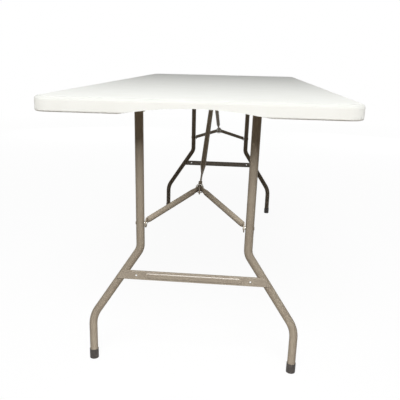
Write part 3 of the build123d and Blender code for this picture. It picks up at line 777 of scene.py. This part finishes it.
camera_data = bpy.data.cameras.new("camera")
camera_data.sensor_width = SENSOR_MM
camera_data.lens = FOCAL_PX / FRAME_PX * SENSOR_MM
camera_data.shift_x = (FRAME_PX / 2 - CENTRE_U_PX) / FRAME_PX
camera_data.shift_y = (CENTRE_V_PX - FRAME_PX / 2) / FRAME_PX
camera = bpy.data.objects.new("camera", camera_data)
bpy.context.scene.collection.objects.link(camera)
turned = Matrix((right, up, -forward)).transposed().to_4x4()
camera.matrix_world = Matrix.Translation(CAMERA_PLACE) @ turned
bpy.context.scene.camera = camera
print("camera lens", round(camera_data.lens, 2))


# %% [markdown]
# The white behind the table. A product photograph stands on white paper that runs up
# behind the object. Making paper white with more light would burn out the white top,
# so the paper shows itself white only to the camera, to reflections and to glass. To
# the light it stays a warm grey, as a real floor is, and it keeps the table's shadow.

# %% The share of a surface that is only seen
PAPER_NEAR, PAPER_FAR = 1.0, 6.0  # metres from the middle of the table
FLOOR_SIZE = 30


def seen_share(tree, share):
    """The share on camera, glossy and transmission rays, and none on the others."""
    path = add_node(tree, "ShaderNodeLightPath").outputs
    total = path["Is Camera Ray"]
    for kind in ("Is Glossy Ray", "Is Transmission Ray"):
        total = add_node(
            tree, "ShaderNodeMath", {0: total, 1: path[kind]}, operation="MAXIMUM"
        )
    return add_node(tree, "ShaderNodeMath", {0: total, 1: share}, operation="MULTIPLY")


print("paper from", PAPER_NEAR, "to", PAPER_FAR, "metres away")

# %% The floor's paper
def floor_material():
    """White paper with a weak shadow to the camera, warm grey to the light."""
    material, tree, coords = new_material("pale studio floor")
    camera_ray = add_node(tree, "ShaderNodeLightPath").outputs["Is Camera Ray"]
    tint = add_node(
        tree, "ShaderNodeMix",
        {"Factor": camera_ray, MIX_A: linear("#786A5A"), MIX_B: linear("#FFFFFF")},
        data_type="RGBA",
    )
    matt = add_node(tree, "ShaderNodeBsdfPrincipled", {
        "Base Color": tint, "Roughness": 0.9, "Specular IOR Level": 0.0,
    })
    paper = add_node(
        tree, "ShaderNodeEmission", {"Color": linear("#FFFFFF"), "Strength": 1.0}
    )
    # Near the table a twentieth of the floor is matt, and that share holds the shadow.
    # Far from it there is only paper, which runs into the white backdrop with no edge
    away = add_node(tree, "ShaderNodeVectorMath", {0: coords}, operation="LENGTH")
    paper_share = add_node(tree, "ShaderNodeMapRange", {
        "Value": away, "From Min": PAPER_NEAR, "From Max": PAPER_FAR,
        "To Min": 0.95, "To Max": 1.0,
    })
    share = seen_share(tree, paper_share.outputs["Result"])
    lit = add_node(tree, "ShaderNodeMixShader", {0: share, 1: matt, 2: paper})
    # From below, the floor lets the camera through, so the underside can be seen
    below = add_node(tree, "ShaderNodeNewGeometry").outputs["Backfacing"]
    clear = add_node(tree, "ShaderNodeBsdfTransparent")
    seen = add_node(tree, "ShaderNodeMixShader", {0: below, 1: lit, 2: clear})
    add_node(tree, "ShaderNodeOutputMaterial", {"Surface": seen})
    return material


paper_floor = floor_material()
print("floor nodes", len(paper_floor.node_tree.nodes))

# %% Lay the floor
bpy.ops.mesh.primitive_plane_add(size=FLOOR_SIZE)
floor = bpy.context.object
floor.name = "studio_floor"
floor.data.materials.append(paper_floor)
print("floor", FLOOR_SIZE, "metres across")


# %% [markdown]
# The world. In a studio the room round the set is dark and the paper fills the view.
# A picture of a real room could light the table from all sides, but it would show in
# every reflection. So the world is the same white as the paper to the camera, and
# almost dark to the light, and the lamps alone shape the table.

# %% The world round the studio
ROOM_GLOW = 0.015  # what the dark room gives to the light

world = bpy.data.worlds.new("studio")
bpy.context.scene.world = world
world.use_nodes = True
sky = world.node_tree
sky.nodes.clear()
level = add_node(
    sky, "ShaderNodeMix", {"Factor": seen_share(sky, 1.0), "A": ROOM_GLOW, "B": 1.0}
)
backdrop = add_node(
    sky, "ShaderNodeBackground", {"Color": linear("#FFFFFF"), "Strength": level}
)
add_node(sky, "ShaderNodeOutputWorld", {"Surface": backdrop})
print("world nodes", len(sky.nodes))


# %% [markdown]
# The lamps in front. The photograph has one large soft light high up in front: the
# near end of the top is bright, its far end falls off, and the top's edge throws a
# soft shadow on the upper legs. A sun lamp would throw a hard one, so it is an area
# lamp. A weak narrow one, lower and a little to the right, lifts the leg frame and
# evens out its crossbar, as light back from the paper would.

# %% The key lamp and a low fill
def area_light(name, place, aim, size, watts, spread_degrees=180):
    """A rectangular area lamp at a place, turned to its aim, unseen itself."""
    light = bpy.data.lights.new(name, "AREA")
    light.shape = "RECTANGLE"
    light.size, light.size_y = size
    light.energy = watts
    light.spread = math.radians(spread_degrees)
    lamp = bpy.data.objects.new(name, light)
    bpy.context.scene.collection.objects.link(lamp)
    lamp.location = place
    look = Vector(aim) - Vector(place)
    lamp.rotation_euler = look.to_track_quat("-Z", "Y").to_euler()
    lamp.visible_camera = False
    return lamp


area_light(
    "key", place=(0.05, -3.1, 3.3), aim=(0, -0.7, 0.5), size=(2.0, 1.8), watts=168
)
area_light(
    "low fill", place=(0.9, -3.0, 1.3), aim=(0.1, -0.9, -0.25), size=(1.2, 0.3),
    watts=0.9, spread_degrees=42,
)
print("lamps", len(bpy.data.lights))


# %% [markdown]
# The lamps at the sides and behind. They keep the skirt from going black when the
# table is seen from there. They stand at table height, so that they skim the flat and
# don't change its shading, and the stronger ones light nothing but the top, by light
# linking. None of them shows in a reflection.

# %% Side, back, skirt and underside fills
TOP_MIDDLE = (0, 0, 0.72)

top_only = bpy.data.collections.new("skirt light receivers")
top_only.objects.link(nodes["tabletop"])
fills, top_fills = [], []
for side in (-1, 1):
    fills.append(area_light(
        "back fill", place=(side * 1.7, 4.2, 0.5), aim=TOP_MIDDLE, size=(1.0, 0.4),
        watts=40,
    ))
    fills.append(area_light(
        "side fill", place=(side * 3.2, 1.3, 0.5), aim=TOP_MIDDLE, size=(1.6, 0.4),
        watts=6,
    ))
    top_fills.append(area_light(
        "skirt fill", place=(side * 3.2, -0.2, 0.6), aim=TOP_MIDDLE, size=(1.6, 0.2),
        watts=36,
    ))
top_fills.append(area_light(
    "skirt fill", place=(0, -3.2, 0.62), aim=(0, -0.9, 0.72), size=(1.6, 0.2), watts=3
))
top_fills.append(area_light(
    "underside fill", place=(0, 0, 0.02), aim=(0, 0.001, 1), size=(2.2, 0.9), watts=1.7
))
for lamp in top_fills:
    lamp.light_linking.receiver_collection = top_only
print("fills", len(fills) + len(top_fills))


# %% [markdown]
# The near feet. In the photograph the legs are bright right down to the caps, because
# white paper on the floor throws light back at them. The floor here is grey to the
# light, so a small card on the floor before each foot gives that light instead.

# %% Small cards of light at the near feet
for side in (-1, 1):
    fills.append(area_light(
        "foot card", place=(side * 0.16, -1.03, 0.03), aim=(side * 0.27, -0.8, 0.12),
        size=(0.12, 0.05), watts=0.25,
    ))
for lamp in fills + top_fills:
    lamp.visible_glossy = False

bpy.context.scene.view_settings.view_transform = "Standard"
print("lamps in all", len(bpy.data.lights))
